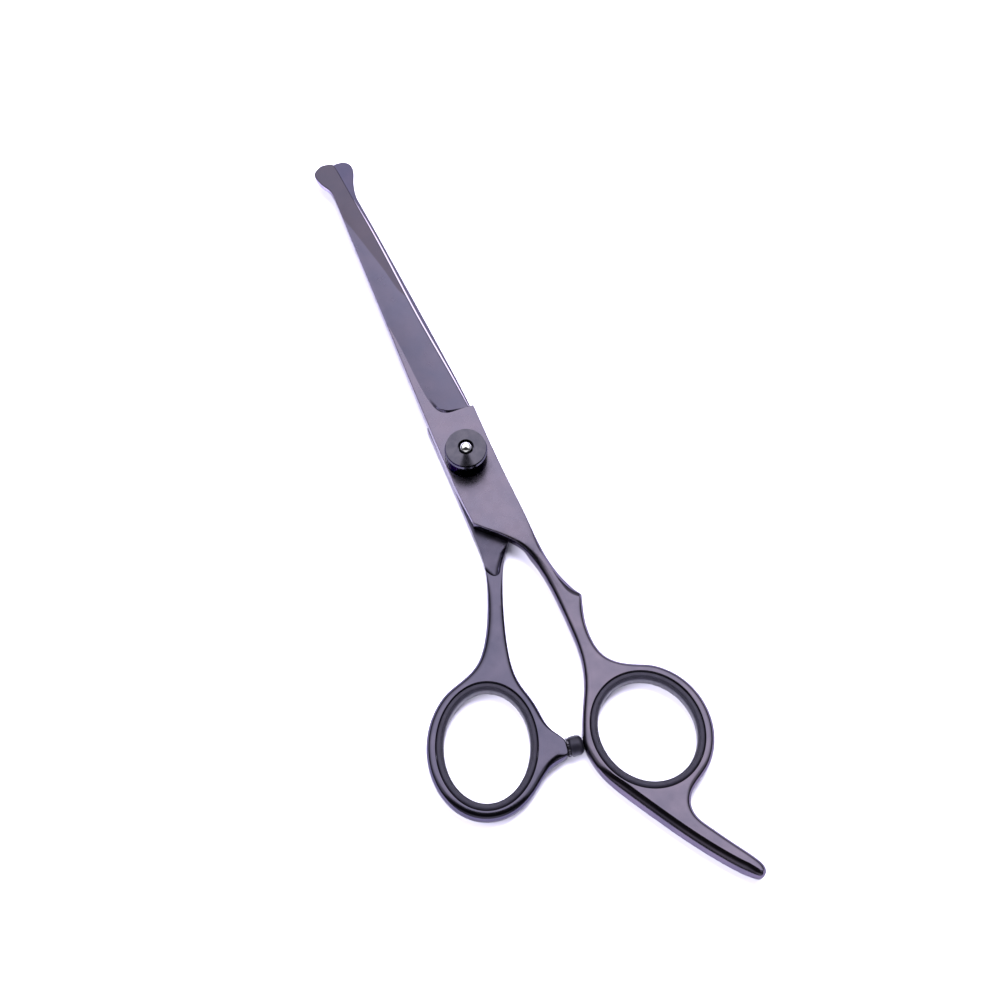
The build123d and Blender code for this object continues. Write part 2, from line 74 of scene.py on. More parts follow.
FINGER_EDGE = ((-0.1, 90.3), (0.1, 89.0), (0.55, 84.0), (0.97, 80.0), (1.92, 70.4), (3.9, 40.6),
               (5.33, 25.1), (6.3, 13.4))
FINGER_SPINE = ((-5.3, -6.0), (-5.2, 12.0), (-4.5, 42.8), (-4.0, 62.5), (-3.57, 78.0), (-3.5, 81.0))
FINGER_LOBE = ((-3.5, 81.0), (-3.65, 82.4), (-4.05, 83.6), (-4.7, 84.7), (-5.35, 86.2), (-5.8, 87.9),
               (-5.75, 89.2), (-5.0, 90.05), (-3.9, 90.7), (-2.7, 90.98), (-1.55, 90.9), (-0.7, 90.65),
               (-0.1, 90.3))
FINGER_FOOT = 18.0                          # y where the ridge meets the heel
FINGER_RIDGE = ((-4.45, 42.0), (-3.6, 32.4), (-3.15, 22.2), (-2.75, FINGER_FOOT))
FINGER_HEEL = ((-2.75, FINGER_FOOT), (-2.3, 16.0), (-1.5, 14.2), (-0.2, 13.1), (2.9, 12.65), (7.0, 12.4))
FINGER_TIP_LINE = ((-3.7, 74.5), (-2.3, 69.6), (-0.4, 61.9), (1.2, 54.8), (2.7, 48.9), (4.0, 47.0))

THUMB_EDGE = ((-0.4, 90.8), (-2.2, 80.2), (-3.3, 40.6), (-4.6, 13.4))
THUMB_SPINE = ((6.6, -4.0), (6.78, 8.0), (6.74, 14.0), (6.2, 24.8), (5.1, 40.7), (3.47, 62.5), (2.94, 69.5),
               (2.42, 75.5), (2.08, 79.5))
THUMB_LOBE = ((2.08, 79.5), (2.3, 81.6), (2.75, 83.6), (3.3, 85.2), (3.9, 86.6), (4.25, 88.1), (4.1, 89.35),
              (3.45, 90.25), (2.5, 90.8), (1.4, 91.0), (0.4, 90.95), (-0.4, 90.8))


def cubic(points, step=0.4):
    """Points at about that spacing along the smooth line through the given ones."""
    p = np.array(points, float)
    span = np.linalg.norm(np.diff(p, axis=0), axis=1)
    at = np.concatenate([[0.0], np.cumsum(span)])
    n = len(p)
    system, right = np.eye(n), np.zeros((n, 2))
    for i in range(1, n - 1):
        system[i, i - 1 : i + 2] = span[i - 1], 2 * (span[i - 1] + span[i]), span[i]
        right[i] = 6 * ((p[i + 1] - p[i]) / span[i] - (p[i] - p[i - 1]) / span[i - 1])
    bend = np.linalg.solve(system, right)
    s = np.linspace(0, at[-1], max(3, int(math.ceil(at[-1] / step)) + 1))
    i = np.clip(np.searchsorted(at, s, side="right") - 1, 0, n - 2)
    h = span[i][:, None]
    b = ((s - at[i])[:, None]) / h
    a = 1 - b
    return a * p[i] + b * p[i + 1] + ((a**3 - a) * bend[i] + (b**3 - b) * bend[i + 1]) * h**2 / 6


def oval(ring, grow, start=0.0, end=360.0, step=5.0):
    """Points of a ring's oval, grown all round, between two angles."""
    (x, y), long, short, tilt = ring
    t = np.radians(np.linspace(start, end, int(abs(end - start) / step) + 1))
    u, v = (short + grow) * np.cos(t), (long + grow) * np.sin(t)
    c, s = math.cos(math.radians(tilt)), math.sin(math.radians(tilt))
    return np.stack([x + u * c - v * s, y + u * s + v * c], 1)


def chain(*stretches):
    """One closed outline from stretches that meet end to start."""
    return np.concatenate([np.asarray(s)[:-1] for s in stretches])


def smoothstep(x, low=0.0, high=1.0):
    """From 0 at low to 1 at high, flat at both ends."""
    t = np.clip((x - low) / (high - low), 0, 1)
    return t * t * (3 - 2 * t)


def line_distance(points, line, closed=False):
    """Distance to a line of points, and the place along it (segment and fraction)."""
    a = np.asarray(line, float)
    b = np.roll(a, -1, axis=0)
    if not closed:
        a, b = a[:-1], b[:-1]
    ab = b - a
    length = np.maximum((ab**2).sum(1), 1e-12)
    best = np.full(len(points), 1e9)
    place = np.zeros(len(points))
    for i in range(0, len(points), 4000):
        p = points[i : i + 4000, None]
        t = np.clip(((p - a) * ab).sum(2) / length, 0, 1)
        d = ((a + t[..., None] * ab - p) ** 2).sum(2)
        k = d.argmin(1)
        rows = np.arange(len(k))
        best[i : i + 4000] = np.sqrt(d[rows, k])
        place[i : i + 4000] = k + t[rows, k]
    return best, place


def side_of(points, line):
    """+1 left of a line and -1 right of it, by its nearest segment."""
    a = np.asarray(line, float)
    _, place = line_distance(points, a)
    k = np.minimum(place.astype(int), len(a) - 2)
    ab, ap = a[k + 1] - a[k], points - a[k]
    return np.sign(ab[:, 0] * ap[:, 1] - ab[:, 1] * ap[:, 0])


def shifted(line, gap):
    """A line moved to its left by a gap, which may differ along it."""
    a = np.asarray(line, float)
    step = np.gradient(a, axis=0)
    step /= np.linalg.norm(step, axis=1)[:, None]
    return a + np.stack([-step[:, 1], step[:, 0]], 1) * np.reshape(gap, (-1, 1))


def inside(points, loop):
    """Which points lie inside a closed loop."""
    x, y = points[:, 0], points[:, 1]
    odd = np.zeros(len(points), bool)
    for (x1, y1), (x2, y2) in zip(loop, np.roll(loop, -1, axis=0)):
        if y1 != y2:
            crosses = (y1 > y) != (y2 > y)
            odd ^= crosses & (x < (x2 - x1) * (y - y1) / (y2 - y1) + x1)
    return odd


def along(line, ys):
    """x of an outline stretch at given y."""
    p = np.array(cubic(line, 1.0))
    p = p[np.argsort(p[:, 1])]
    return np.interp(ys, p[:, 1], p[:, 0])


CUT_SNAP = 0.06                             # a cut this near a corner of the outline is moved to it


def trim(line, loop):
    """A line cut off where it leaves a loop, and the loop with a corner at each cut."""
    line = np.asarray(line, float)
    keep = inside(line, loop)
    kept = []
    for a, b, here, there in zip(line, line[1:], keep, keep[1:]):
        if here:
            kept.append(a)
        if here != there:
            edge, gap, step = np.roll(loop, -1, 0) - loop, loop - a, b - a
            cross = step[0] * edge[:, 1] - step[1] * edge[:, 0]
            cross = np.where(np.abs(cross) < 1e-12, 1e-12, cross)
            t = (gap[:, 0] * edge[:, 1] - gap[:, 1] * edge[:, 0]) / cross
            u = (gap[:, 0] * step[1] - gap[:, 1] * step[0]) / cross
            k = int(np.argmin(np.maximum(np.abs(t - 0.5), np.abs(u - 0.5))))
            cut = a + t[k] * step
            gaps = np.linalg.norm(loop - cut, axis=1)
            if gaps.min() < CUT_SNAP:
                cut = loop[gaps.argmin()]
            else:
                loop = np.insert(loop, k + 1, cut, axis=0)
            kept.append(cut)
    if keep[-1]:
        kept.append(line[-1])
    return np.array(kept), loop


GRID = 0.8                                  # spacing of the points inside a face
ROUND_STEPS = 8                             # rows of points across an edge rounding
ROUND_CLEAR, LINE_CLEAR = 0.35, 0.15        # parts of the grid kept free beside roundings and lines
RIDGE_COSINE = 0.12                         # roundings that stop at a steeper angle leave a ridge
PLAN_MERGE, WELD = 1e-4, 2e-4               # points nearer than this become one
ON_LINE = 2e-3                              # points this near a crease lie on it
SLIVER = 1e-9                               # triangles below this area are left out
CREASE_ANGLE = 28.0                         # edges sharper than this stay sharp


class Forging:
    """A forged half: a plan outline with a ring hole, a top and an underside.

    width, drop and crest say how wide and deep each edge is rounded, and at what angle the
    rounding meets the face. creases and borders are lines of the upper and the lower face.
    """

    def __init__(self, outline, hole, width, drop, crest, top, low, creases, zone,
                 borders=([], []), fine=()):
        self.width, self.drop, self.crest = width, drop, crest
        self.top, self.low, self.zone, self.fine = top, low, zone, fine
        self.creases, self.borders, self.ridges = ([], []), ([], []), []
        for made, given in ((self.creases, creases), (self.borders, borders)):
            for k in (0, 1):
                for line in given[k]:
                    closed = np.allclose(line[0], line[-1])
                    kept, outline = (line, outline) if closed else trim(line, outline)
                    made[k].append(kept)
        self.outline, self.hole = outline, hole

    def nearest(self, points, loop):
        """Distance to a closed loop and the nearest spot on it."""
        d, place = line_distance(points, loop, closed=True)
        k = np.minimum(place.astype(int), len(loop) - 1)
        part = (place - k)[:, None]
        return d, loop[k] * (1 - part) + np.roll(loop, -1, 0)[k] * part

    def rounding(self, points, upper):
        """How far the edge rounding lowers the face at each point."""
        total = np.zeros(len(points))
        for loop, outer in ((self.outline, True), (self.hole, False)):
            d, spots = self.nearest(points, loop)
            w, h, crest = (f(spots, upper, outer) for f in (self.width, self.drop, self.crest))
            cos_end = np.cos(np.radians(crest))
            theta = np.arccos(np.clip(1 - np.clip(d / w, 0, 1) * (1 - cos_end), -1, 1))
            total += h * (1 - np.sin(theta) / np.sin(np.radians(crest)))
        return total

    def face(self, upper):
        """Points, heights and triangles of the upper or lower face."""
        rows, edges = [], []
        lines = self.creases[0 if upper else 1] + self.borders[0 if upper else 1]

        def put(line, closed):
            """Adds a line's points, and the edges between them."""
            start = sum(len(r) for r in rows)
            rows.append(line)
            n = len(line)
            edges.extend((start + i, start + (i + 1) % n) for i in range(n if closed else n - 1))

        for loop, outer, sign in ((self.outline, True, 1), (self.hole, False, -1)):
            ahead, behind = np.roll(loop, -1, 0) - loop, loop - np.roll(loop, 1, 0)
            ahead /= np.linalg.norm(ahead, axis=1)[:, None]
            behind /= np.linalg.norm(behind, axis=1)[:, None]
            mean = ahead + behind
            mean /= np.maximum(np.linalg.norm(mean, axis=1), 1e-6)[:, None]
            area = (loop[:, 0] * np.roll(loop[:, 1], -1) - np.roll(loop[:, 0], -1) * loop[:, 1]).sum()
            turn = sign * (1 if area > 0 else -1)
            inward = turn * np.stack([-mean[:, 1], mean[:, 0]], 1)
            stretch = np.clip((mean * ahead).sum(1), 0.5, 1)[:, None]
            w = self.width(loop, upper, outer)[:, None]
            cos_end = np.cos(np.radians(self.crest(loop, upper, outer)))[:, None]
            angle = np.arccos(np.clip(cos_end, -1, 1))
            for k in range(ROUND_STEPS + 1):
                reach = w * (1 - np.cos(angle * k / ROUND_STEPS)) / (1 - cos_end)
                put(loop + inward * reach / stretch, True)
            ridge = np.flatnonzero(cos_end[:, 0] > RIDGE_COSINE)
            for run in np.split(ridge, np.flatnonzero(np.diff(ridge) > 1) + 1):
                if upper and len(run) > 2:
                    self.ridges.append(rows[-1][run])
        for line in lines:
            put(line, False)
        border = np.concatenate(rows)
        cells = np.empty((0, 2))
        for low, high, pitch in ((self.outline.min(0), self.outline.max(0), GRID), *self.fine):
            gx, gy = np.meshgrid(np.arange(low[0], high[0], pitch), np.arange(low[1], high[1], pitch))
            gx[::2] += pitch / 2
            cells = cells[((cells < low) | (cells > high)).any(1)]
            cells = np.concatenate([cells, np.stack([gx.ravel(), gy.ravel()], 1)])
        cells = cells[inside(cells, self.outline) & ~inside(cells, self.hole)]
        for loop, outer in ((self.outline, True), (self.hole, False)):
            d, spots = self.nearest(cells, loop)
            cells = cells[d > self.width(spots, upper, outer) + ROUND_CLEAR * GRID]
        for line in lines:
            cells = cells[line_distance(cells, line)[0] > LINE_CLEAR * GRID]
        plan = [Vector(p) for p in np.concatenate([border, cells])]
        made = delaunay_2d_cdt(plan, edges, [], 0, PLAN_MERGE)
        points = np.array([tuple(v) for v in made[0]])
        faces = np.array([f for f in made[2] if len(f) == 3])
        middle = points[faces].mean(1)
        keep = inside(middle, self.outline) & ~inside(middle, self.hole)
        faces = faces[keep]
        fall = self.rounding(points, upper)
        z = self.top(points) - fall if upper else self.low(points) + fall
        return points, z, faces

    def mesh(self):
        """The closed mesh: both faces and the walls between their borders."""
        mesh = bmesh.new()
        rims = []
        for upper in (True, False):
            points, z, faces = self.face(upper)
            verts = [mesh.verts.new((x, y, h)) for (x, y), h in zip(points, z)]
            for a, b, c in faces:
                corners = [verts[a], verts[b], verts[c]]
                cross = np.cross(points[b] - points[a], points[c] - points[a])
                if abs(cross) < SLIVER:
                    continue
                mesh.faces.new(corners if (cross > 0) == upper else corners[::-1])
            rims.append({(round(v.co.x, 4), round(v.co.y, 4)): v for v in verts})
        for v in [v for v in mesh.verts if not v.link_faces]:
            mesh.verts.remove(v)
        upper_rim, lower_rim = rims
        places = {id(v): place for place, v in upper_rim.items()}
        for e in [e for e in mesh.edges if len(e.link_faces) == 1]:
            a, b = e.verts
            if e.link_loops[0].vert == a:
                a, b = b, a
            below_a, below_b = (lower_rim.get(places.get(id(v))) for v in (a, b))
            if not (below_a and below_b and below_a.is_valid and below_b.is_valid):
                continue
            if max((a.co - below_a.co).length, (b.co - below_b.co).length) >= PLAN_MERGE:
                mesh.faces.new([a, b, below_b, below_a])
        bmesh.ops.remove_doubles(mesh, verts=mesh.verts, dist=WELD)
        gaps = [e for e in mesh.edges if len(e.link_faces) == 1]
        bmesh.ops.holes_fill(mesh, edges=gaps, sides=6)     # where one face has a corner more than the other
        bmesh.ops.recalc_face_normals(mesh, faces=mesh.faces)
        mesh.verts.index_update()
        mesh.normal_update()
        ends = np.array([[v.co.x, v.co.y, v.normal.z] for v in mesh.verts])
        for upper in (True, False):
            for line in self.creases[0 if upper else 1] + (self.ridges if upper else []):
                d, place = line_distance(ends[:, :2], line)
                on = (d < ON_LINE) & ((ends[:, 2] > 0) == upper)
                for e in mesh.edges:
                    a, b = (v.index for v in e.verts)
                    if on[a] and on[b] and abs(place[a] - place[b]) < 1.5:
                        e.smooth = False
        middles = np.array([tuple(f.calc_center_median()) for f in mesh.faces])
        facing = np.array([f.normal.z for f in mesh.faces])
        for f, slot in zip(mesh.faces, self.zone(middles, facing)):
            f.material_index = int(slot)
        return mesh


def finish_mesh(name, mesh, sharp=CREASE_ANGLE):
    """Turns a bmesh in millimetres into an object in metres, smooth but for its creases."""
    bmesh.ops.scale(mesh, vec=(MM, MM, MM), verts=mesh.verts)
    data = bpy.data.meshes.new(name)
    mesh.to_mesh(data)
    mesh.free()
    for polygon in data.polygons:
        polygon.use_smooth = True
    marked = [e.use_edge_sharp for e in data.edges]
    data.set_sharp_from_angle(angle=math.radians(sharp))
    for edge, mark in zip(data.edges, marked):
        edge.use_edge_sharp = edge.use_edge_sharp or mark
    piece = bpy.data.objects.new(name, data)
    bpy.context.scene.collection.objects.link(piece)
    return piece


# ---- finger half ----------------------------------------------------------------------
FINGER_RIGHT = ((7.0, 12.4), (7.05, -4), (7.6, -20), (8.5, -31.5), (10.0, -36.6), (12.45, -41.6))
FINGER_BACK = np.concatenate([
    [(12.45, -41.6), (10.8, -46.6), (10.1, -53), (11.2, -57.6)],
    oval(FINGER_RING, RING_WALL, 62, -62, 12),
    [(19.2, -93.1), (16.5, -95.1), (15.25, -97.2), (15.1, -99.6), (17.2, -104.1), (20.4, -109.2),
     (23.8, -114.6), (24.5, -116.4), (24.2, -118.0), (22.9, -118.7), (21.4, -117.9), (17.3, -113.4),
     (12.4, -106.6), (4.8, -94.3), (0.9, -87.4), (-0.9, -83.2)],
    oval(FINGER_RING, RING_WALL, 184, 160, 12),
    [(-0.5, -71.6), (1.5, -67.3), (3.5, -63.4), (5.8, -56.3), (6.35, -48), (6.25, -40), (5.5, -32),
     (3.6, -25.8), (-0.4, -20.6)],
])
FINGER_STEP = ((-0.4, -20.6), (-2.6, -18.5), (-4.8, -16.3))
FINGER_LEFT = ((-4.8, -16.3), (-5.1, -11), (-5.3, -6.0))
finger_outline = chain(
    cubic(FINGER_RIGHT, 0.8), cubic(FINGER_BACK, 0.45), cubic(FINGER_STEP, 0.8), cubic(FINGER_LEFT, 1.0),
    cubic(FINGER_SPINE, 1.2), cubic(FINGER_LOBE, 0.4), cubic(FINGER_EDGE, 1.2),
    ((6.3, 13.4), (6.6, 12.9), (7.0, 12.4)),
)


def shank(y, level, handle):
    """Level of a face that runs smoothly from the pivot area down or up to the handle."""
    return level + (handle - level) * smoothstep(-y, 18, 45)


def shank_step(y, level, handle):
    """Level of a face behind the shank step."""
    return level + (handle - level) * smoothstep(-y, 26, 29)


def spine_height(y):
    """Thickness of a blade at its spine, from the heel to the tip."""
    return np.interp(y, (13, 42, 74, 83, 91), (3.5, 3.15, 1.95, 1.75, 1.6))


def grind_height(points, edge, back, tip_line, toward):
    """Thickness left by the hollow grind between the cutting edge and the ridge or spine."""
    y = points[:, 1]
    edge_x, back_x = along(edge, y), np.interp(y, back[:, 1], back[:, 0])
    u = np.clip((edge_x - points[:, 0]) * toward / np.maximum((edge_x - back_x) * toward, 0.5), -0.1, 1.2)
    hollow = EDGE_LAND + (spine_height(y) - EDGE_LAND) * u - HOLLOW * u * (1 - u)
    d, _ = line_distance(points, tip_line)
    past = d * side_of(points, tip_line) * toward
    bank = TIP_LAND + (spine_height(y) - TIP_LAND) * np.clip(u, 0, 1)
    lift = 0.5 * np.clip(past / 6.0, 0, 1) + 0.5 * smoothstep(y, 76.0, 84.0)
    return hollow + (bank - hollow) * np.clip(lift, 0, 1)


finger_ridge = cubic(FINGER_RIDGE, 0.8)
finger_back = np.concatenate([finger_ridge[::-1], cubic(FINGER_SPINE[2:], 1.0)[1:], [(-3.4, 92.0)]])
heel_line = cubic(FINGER_HEEL, 0.3)
finger_tip_line = cubic(FINGER_TIP_LINE, 0.8)
RUNOUT = 1.35                               # width of the wheel's run-out at the heel
runout_reach = np.interp(heel_line[:, 0], (-2.6, -0.9), (0.5, RUNOUT))      # closes up at the inner corner
runout_line = shifted(heel_line, runout_reach)[heel_line[:, 0] > -2.2]
BEVEL_LINE = ((5.5, 12.4), (5.4, 0.0), (5.55, -12.0), (6.0, -19.0), (6.6, -25.0), (7.4, -30.0),
              (8.0, -34.0), (8.7, -38.0), (9.7, -40.8), (11.2, -42.3))
bevel_line = cubic(BEVEL_LINE, 0.7)
TANG_MIDDLE = ((3.5, -84.0), (8.0, -92.5), (14.0, -101.5), (19.5, -110.5), (23.7, -117.0), (25.0, -119.5))


def finger_top(points):
    """The flat by the pivot, the bevel on its right, the ground blade and the handle's top."""
    y = points[:, 1]
    base = shank(y, FINGER_TOP, HANDLE_HIGH)
    d, _ = line_distance(points, bevel_line)
    beyond = (side_of(points, bevel_line) > 0) & (y > -44) & (y < 12.41) & (points[:, 0] > 4)
    slope = np.interp(y, (-42, -32, -15, 12), (0.6, 0.4, 0.17, 0.13))
    base = base - np.where(beyond, slope * d, 0)
    base = np.where(y > HEEL_Y, np.minimum(base, FINGER_Z + spine_height(y)), base)
    ground = FINGER_Z + grind_height(points, FINGER_EDGE, finger_back, finger_tip_line, 1)
    d, place = line_distance(points, heel_line)
    beyond = side_of(points, heel_line) > 0
    fall = np.clip(d / np.interp(place, range(len(heel_line)), runout_reach), 0, 1)
    runout = np.where(beyond & (y > WHEEL_FROM), fall, 0.0)
    runout = np.where(y > FINGER_FOOT, 1.0, runout)
    return np.minimum(base, base + (ground - base) * runout)


def finger_low(points):
    """The finger half's underside: the ride face, then the handle behind the shank step."""
    return shank_step(points[:, 1], FINGER_Z, HANDLE_LOW)


def on_rest(spots):
    """From 0 to 1 along the outer flank of the finger rest."""
    flank = (side_of(spots, TANG_MIDDLE) < 0) & (spots[:, 1] < -80)
    return np.where(flank, smoothstep(-spots[:, 1], 82, 90) * smoothstep(spots[:, 1], -119.5, -116.0), 0)


HANDLE_RUN = (17, 34)                       # behind the pivot, where the handle's rounding grows
HANDLE_ROUND = 1.6                          # width and depth of the handle's full rounding
OUTER_BREAK = 0.22                          # edge break of the halves' outer faces by the pivot
RIDE_BREAK_WIDTH, RIDE_BREAK_DROP = 0.12, 0.1
HOLE_BREAK = 0.35                           # edge break of the ring holes
BLADE_BREAK = 0.3                           # width of the edge break along the ground blades
REST_WIDTH, REST_DROP = 2.3, 3.0            # facet on the finger rest's outer flank
SPUR_SHARPNESS, SPUR_SPREAD = 0.55, 6.0     # the rounding narrows at the spur


def handle_round(spots, small, full):
    """Blend from the blade's small edge break to the handle's full rounding."""
    return small + (full - small) * smoothstep(-spots[:, 1], *HANDLE_RUN)


def finger_width(spots, upper, outer):
    """Width of the finger half's edge rounding."""
    x, y = spots.T
    if not outer:
        return np.full(len(y), HOLE_BREAK)
    w = handle_round(spots, OUTER_BREAK if upper else RIDE_BREAK_WIDTH, HANDLE_ROUND)
    if upper:
        inner = (x < 9.3) & (y < -15) & (y > -60)
        w = np.where(inner, handle_round(spots, 0.3, 1.35), w)
        spur_x, spur_y = FINGER_RIGHT[-1]
        spur = np.exp(-((x - spur_x) ** 2 + (y - spur_y) ** 2) / SPUR_SPREAD)
        w = w * (1 - SPUR_SHARPNESS * spur)
        w = w + (REST_WIDTH - w) * on_rest(spots)
        w = np.where(y > HEEL_Y, BLADE_BREAK, w)
    return w


def finger_drop(spots, upper, outer):
    """Depth of the finger half's edge rounding."""
    x, y = spots.T
    if not outer:
        return np.full(len(y), HOLE_BREAK)
    h = handle_round(spots, OUTER_BREAK if upper else RIDE_BREAK_DROP, HANDLE_ROUND)
    if upper:
        h = h + (REST_DROP - h) * on_rest(spots)
        blade = np.interp(x, (-3, 0), (0.3, 0.17)) + 0.15 * smoothstep(y, 72, 82) * (x > -3)
        h = np.where(y > HEEL_Y, blade, h)
    return h


def finger_crest(spots, upper, outer):
    """Angle at which the rounding meets the face: 90 is smooth, less leaves a ridge."""
    full = np.full(len(spots), 90.0)
    return full - 32.0 * on_rest(spots) if outer and upper else full


# Finish slots. The tip slot is a darker steel that paints shade on facets turned from the light; the honed
# slot is a bright steel, bare from honing on the ride line and a painted highlight on the side walls.
COATED, SATIN, GROUND, HONED_AND_HIGHLIGHT, BRUSHED, PAINTED_SHADE = range(6)


def finger_zone(middles, facing):
    """Finish of each face: satin by the pivot, ground along the blade, polished elsewhere, with painted
    shade in a darker steel on the tip facet, the lobe and the heel's run-out band, and a painted highlight
    in a bright steel on the left side walls.
    """
    x, y, z = middles.T
    up = facing > 0.5
    slot = np.where(up & (y > SATIN_FROM) & (z > FINGER_Z + 1), SATIN, COATED)
    ground = up & (y > 12.5) & (side_of(middles[:, :2], heel_line) > 0) & (y < FINGER_FOOT + 0.5)
    back_x = np.interp(y, finger_back[:, 1], finger_back[:, 0])
    ground |= up & (y > FINGER_FOOT) & (x > back_x)
    slot = np.where(ground, GROUND, slot)
    d, place = line_distance(middles[:, :2], heel_line)
    # The heel's run-out band takes the darker steel: painted shade where its slope turns from the light.
    band = ground & (d < np.interp(place, range(len(heel_line)), runout_reach)) & (x > -1.3)
    slot = np.where(band, PAINTED_SHADE, slot)
    # Left side walls take the bright steel: a painted highlight.
    slot = np.where((np.abs(facing) < 0.4) & (y > -15.8) & (x < -2.9), HONED_AND_HIGHLIGHT, slot)
    # The tip facet past the tip line and the lobe take the darker steel: painted shade where the facet turns
    # from the light.
    tip = up & (((y > 46) & (side_of(middles[:, :2], finger_tip_line) > 0)) | (y > 75))
    return np.where(tip, PAINTED_SHADE, slot)


finger_forging = Forging(
    finger_outline, oval(FINGER_RING, 0.0, step=4)[:-1], finger_width, finger_drop, finger_crest,
    finger_top, finger_low, ([heel_line, finger_ridge, finger_tip_line, runout_line, bevel_line], []),
    finger_zone, fine=[((-3.4, 11.9), (1.5, 19.0), 0.3)],
)
finger_piece = finish_mesh("finger_forging", finger_forging.mesh())
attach(finger_piece, "finger_half")
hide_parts("finger_blade")

# ---- thumb half -----------------------------------------------------------------------
THUMB_LEFT = np.concatenate([
    [(-5.3, 12.4), (-5.3, -4), (-5.45, -17), (-5.95, -25.5), (-8.5, -33.9), (-11.2, -40.0),
     (-14.2, -45.1), (-17.6, -48.6), (-20.6, -50.1)],
    oval(THUMB_RING, RING_WALL, 120, 318, 12),
    [(-13.6, -79.2), (-11.2, -77.7), (-8.9, -77.0), (-6.9, -76.65), (-5.95, -76.1), (-5.65, -75.4)],
])
THUMB_RIGHT = ((-5.4, -73.7), (-5.45, -72.9), (-5.85, -71.9), (-6.75, -70.4), (-7.7, -68.0), (-8.1, -64.6),
               (-8.65, -60.6), (-9.55, -57.0), (-9.85, -53), (-9.2, -48.5), (-7.7, -42.8), (-5.6, -36.6),
               (-3.4, -31), (-1.3, -26.8), (0.6, -24.0))
thumb_outline = chain(
    cubic(THUMB_LEFT, 0.45), ((-5.65, -75.4), (-5.53, -74.5), (-5.4, -73.7)), cubic(THUMB_RIGHT, 0.4),
    ((0.6, -24.0), (3.2, -20.2), (5.9, -16.3)), cubic(((5.9, -16.3), (6.4, -10), (6.6, -4.0)), 1.0),
    cubic(THUMB_SPINE, 1.2), cubic(THUMB_LOBE, 0.4), cubic(THUMB_EDGE, 1.2),
    ((-4.6, 13.4), (-4.95, 12.9), (-5.3, 12.4)),
)
THUMB_FOOT = 20.0                           # y where the underside's ridge meets the heel
THUMB_RIDGE = ((2.9, 14.0), (3.6, THUMB_FOOT), (4.3, 30.0))
thumb_back = np.concatenate([THUMB_RIDGE, cubic(THUMB_SPINE[4:], 1.0), [(2.5, 92.0)]])
thumb_back = thumb_back[np.argsort(thumb_back[:, 1])]
THUMB_HEEL = ((3.6, THUMB_FOOT), (3.3, 16.0), (2.4, 14.2), (1.1, 13.1), (-2.0, 12.65), (-5.3, 12.4))
thumb_heel_line = cubic(THUMB_HEEL, 0.3)
THUMB_TIP_LINE = ((2.8, 74.5), (1.6, 69.6), (0.0, 61.9), (-1.3, 54.8), (-2.4, 48.9), (-3.3, 47.0))
thumb_tip_line = cubic(THUMB_TIP_LINE, 0.8)
THUMB_RUNOUT = 0.9                          # width of the wheel's run-out at the heel underneath
HEAD_POCKET, HEAD_FLOOR = 4.1, 4.05         # radii of the bolt head's pocket, at its rim and its floor
HEAD_DEPTH = 0.8


def thumb_low(points):
    """The underside: the flat with the bolt head's pocket, the ground blade and the handle."""
    y = points[:, 1]
    base = shank(y, THUMB_LOW, HANDLE_LOW)
    base = np.where(y > HEEL_Y, np.maximum(base, RIDE_Z - spine_height(y)), base)
    ground = RIDE_Z - grind_height(points, THUMB_EDGE, thumb_back, thumb_tip_line, -1)
    d, _ = line_distance(points, thumb_heel_line)
    beyond = side_of(points, thumb_heel_line) < 0
    runout = np.where(beyond & (y > WHEEL_FROM), np.clip(d / THUMB_RUNOUT, 0, 1), 0.0)
    runout = np.where(y > THUMB_FOOT, 1.0, runout)
    z = np.maximum(base, base + (ground - base) * runout)
    head = np.hypot(points[:, 0], points[:, 1]) < (HEAD_POCKET + HEAD_FLOOR) / 2
    return np.where(head, THUMB_LOW + HEAD_DEPTH, z)


SCOOP_LINE = ((-7.2, -25.6), (-6.3, -27.6), (-5.75, -28.9), (-4.95, -29.75), (-4.15, -29.75), (-3.45, -28.9),
              (-2.35, -27.2), (-1.05, -25.55), (0.15, -24.0), (1.6, -22.0))
SCOOP_WALL = 0.3                            # plan width of the scoop's end wall
SCOOP_BALL = 1.9                            # radius the ball-nosed cutter leaves before it
SCOOP_REACH = 1.6                           # plan length of that radius
scoop_line = cubic(SCOOP_LINE, 0.3)
scoop_rim = shifted(scoop_line, -SCOOP_WALL)
scoop_foot = shifted(scoop_line, 0.45)


def thumb_top(points):
    """The ride face, the milled scoop behind it and the crowned shank beyond the scoop."""
    x, y = points.T
    d, _ = line_distance(points, scoop_line)
    beyond = (side_of(points, scoop_line) < 0) & (y < -20)
    handle = HANDLE_HIGH - 1.0 * smoothstep(y, -31, -24)
    nose = SCOOP_REACH * smoothstep(-y, 22.5, 25.0)
    reach = np.clip(np.where(beyond, nose, nose - d), 0, SCOOP_REACH)
    curl = SCOOP_BALL - np.sqrt(SCOOP_BALL**2 - reach**2)
    climb = np.where(beyond, np.clip(d / SCOOP_WALL, 0, 1), 0)
    low = RIDE_Z + np.where(y < -22, curl, 0)
    return low + (handle - low) * climb


def shank_side(spots):
    """1 on the shank's right side, where its crown meets a narrow bevel."""
    x, y = spots.T
    return smoothstep(x + 5.2 + 0.33 * (-24 - y), -0.6, 0.6) * (1 - smoothstep(-y, 48, 60)) * (y < -15)


def lug_side(spots):
    """1 where the ring's lug runs out to the bumper's face."""
    x, y = spots.T
    return smoothstep(x, -8.6, -6.4) * smoothstep(-y, 64.0, 68.0)


SCOOPED_RUN = (27, 33)                      # behind the scoop, where the top's rounding grows
LUG_BREAK = 0.5                             # edge break of the bumper's lug


def thumb_round(spots, upper, ride_break):
    """Blend from a small edge break to the handle's full rounding, on either side."""
    small = ride_break if upper else OUTER_BREAK
    return small + (HANDLE_ROUND - small) * smoothstep(-spots[:, 1], *(SCOOPED_RUN if upper else HANDLE_RUN))


